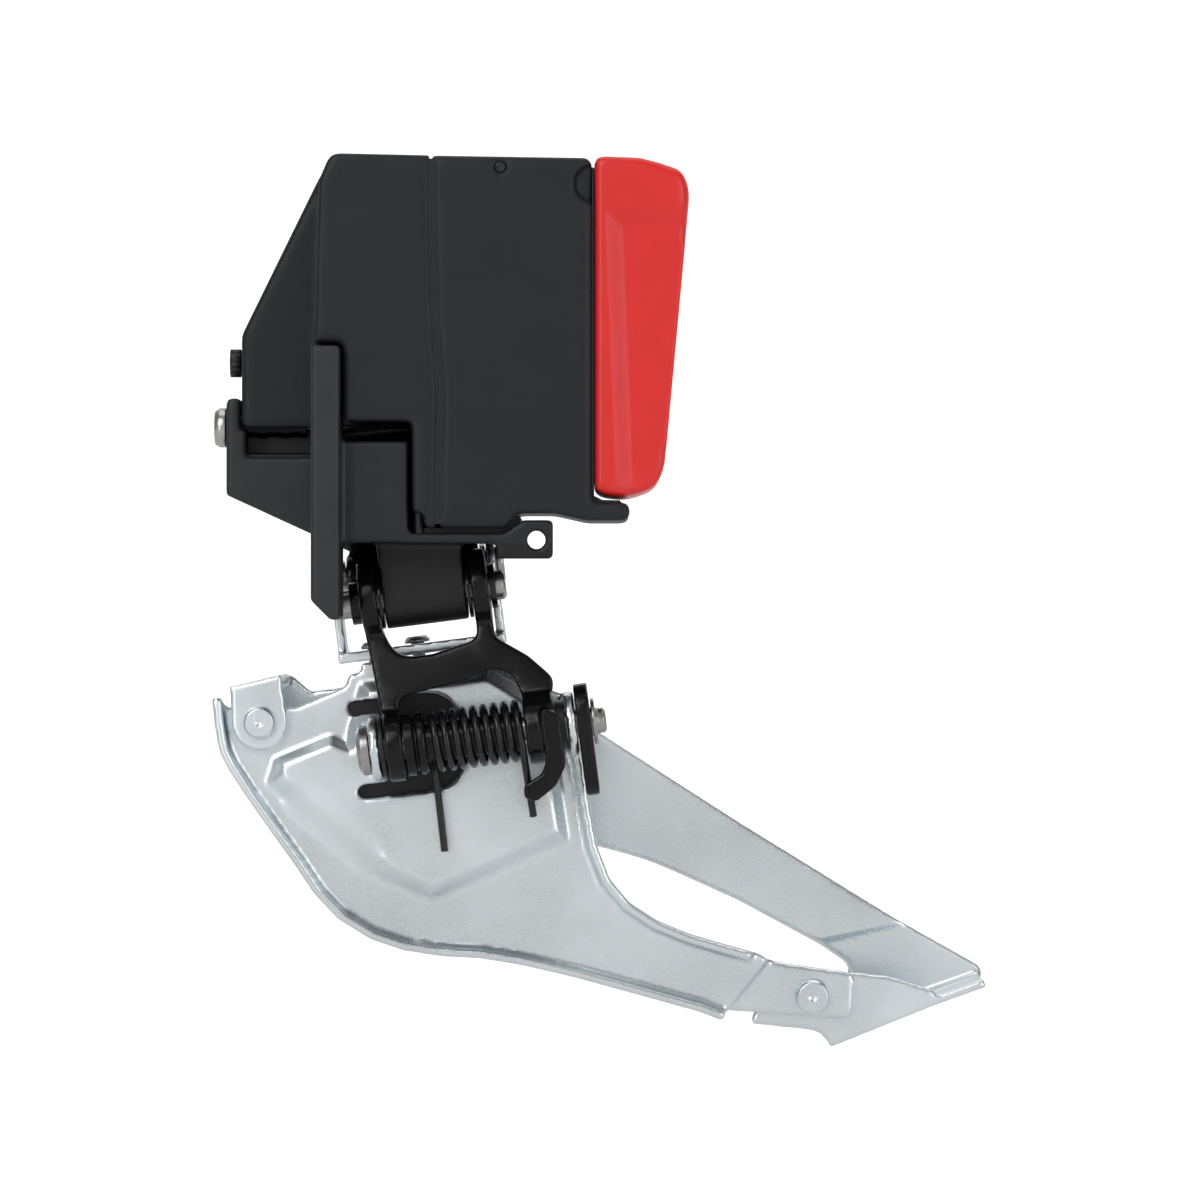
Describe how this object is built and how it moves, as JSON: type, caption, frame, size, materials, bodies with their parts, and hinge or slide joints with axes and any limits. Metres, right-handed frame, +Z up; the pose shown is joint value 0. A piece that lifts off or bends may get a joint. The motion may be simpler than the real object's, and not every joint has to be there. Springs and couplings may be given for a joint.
{
  "type": "electronic front derailleur",
  "caption": "Electronic front derailleur with a flat frame pad, geared motor body, parallel links, torsion spring, folded chain cage and a removable battery bay cover.",
  "frame": {"origin": "middle of the flat pad face that meets the frame tab", "axes": "+X to the bike's rear, +Y outboard, +Z up; the pad's outward normal is -X"},
  "size_m": [0.1053, 0.0328, 0.1205],
  "materials": {
    "housing_plastic": "fine matte",
    "base_casting": "satin anodised",
    "link_black": "gloss black",
    "black_plastic": "satin",
    "spring_black": "oiled black",
    "cage_zinc": "zinc plated",
    "pin_steel": "turned",
    "gear_brass": "cut",
    "board_green": "solder mask",
    "cover_red": "satin",
    "button_rubber": "matte",
    "lens_clear": "clear dark"
  },
  "bodies": {
    "base": {"mount_base": "base_casting", "motor_housing": "housing_plastic", "rear_housing": "housing_plastic", "gear_plate": "pin_steel", "drive_motor": "pin_steel", "reduction_shaft": "pin_steel", "circuit_board": "board_green", "contact_block": "black_plastic", "contact_pin_inner": "gear_brass", "contact_pin_outer": "gear_brass", "status_lens": "lens_clear", "base_screw_inner": "pin_steel", "base_screw_outer": "pin_steel", "front_bolt": "pin_steel", "outer_axle": "pin_steel", "inner_upper_pin": "pin_steel", "upper_washer_front": "pin_steel", "upper_washer_rear": "pin_steel", "upper_collar": "black_plastic", "upper_clip": "pin_steel", "latch_pin": "pin_steel", "housing_seal": "button_rubber"},
    "inner_arm": {"inner_link": "link_black", "spring_sleeve": "black_plastic", "torsion_spring": "spring_black"},
    "outer_arm": {"outer_link": "link_black", "sector_gear": "pin_steel"},
    "cage": {"cage_inner_plate": "cage_zinc", "cage_outer_plate": "cage_zinc", "cage_bridge": "cage_zinc", "front_rivet": "pin_steel", "tail_rivet": "pin_steel", "bridge_rivet_front": "pin_steel", "bridge_rivet_rear": "pin_steel", "inner_lower_pin": "pin_steel", "lower_washer_front": "black_plastic", "lower_washer_rear": "black_plastic", "stop_arm": "link_black", "lower_pin_washer": "pin_steel", "outer_lower_pin": "pin_steel", "outer_bush_front": "pin_steel", "outer_bush_rear": "pin_steel"},
    "reduction": {"reduction_gear": "gear_brass"},
    "pinion": {"motor_pinion": "gear_brass"},
    "cover": {"battery_cover": "cover_red"},
    "latch": {"battery_latch": "black_plastic"},
    "button": {"function_button": "button_rubber"},
    "screw": {"limit_screw": "black_plastic"}
  },
  "joints": [
    {"name": "inner_swing", "type": "hinge", "parent": "base", "child": "inner_arm", "pos_m": [0.0147, 0.0093, -0.01485], "axis": [0.9919, 0, 0.1271], "range_deg": [0, 28]},
    {"name": "outer_swing", "type": "hinge", "parent": "base", "child": "outer_arm", "pos_m": [0.01176, 0.0218, 0.00806], "axis": [0.9919, 0, 0.1271], "range_deg": [0, 28]},
    {"name": "cage_pivot", "type": "hinge", "parent": "inner_arm", "child": "cage", "pos_m": [0.01722, 0.005, -0.03449], "axis": [0.9919, 0, 0.1271], "range_deg": [-28, 0], "deforming": ["torsion_spring"]},
    {"name": "reduction_spin", "type": "hinge", "parent": "base", "child": "reduction", "pos_m": [0.0105, 0.01627, 0.01795], "axis": [0.9919, 0, 0.1271], "range_deg": [-105, 0]},
    {"name": "pinion_spin", "type": "hinge", "parent": "base", "child": "pinion", "pos_m": [0.00967, 0.01536, 0.02443], "axis": [0.9919, 0, 0.1271], "range_deg": [0, 183.75]},
    {"name": "cover_tilt", "type": "hinge", "parent": "base", "child": "cover", "pos_m": [0.04265, 0.01025, -0.0023], "axis": [0, 1, 0], "range_deg": [0, 25]},
    {"name": "latch_lift", "type": "hinge", "parent": "base", "child": "latch", "pos_m": [0.0346, 0.01025, 0.0416], "axis": [0, -1, 0], "range_deg": [0, 70]},
    {"name": "button_press", "type": "slide", "parent": "base", "child": "button", "axis": [0, -1, 0], "range_m": [0, 0.0006], "stiffness_N_per_m": 600},
    {"name": "limit_turn", "type": "hinge", "parent": "base", "child": "screw", "pos_m": [-0.011, 0.014, 0.0166], "axis": [1, 0, 0], "continuous": true}
  ],
  "couplings": [
    {"joint": "outer_swing", "follows": "inner_swing", "ratio": 1},
    {"joint": "cage_pivot", "follows": "inner_swing", "ratio": -1},
    {"joint": "reduction_spin", "follows": "inner_swing", "ratio": -3.75},
    {"joint": "pinion_spin", "follows": "inner_swing", "ratio": 6.5625}
  ]
}
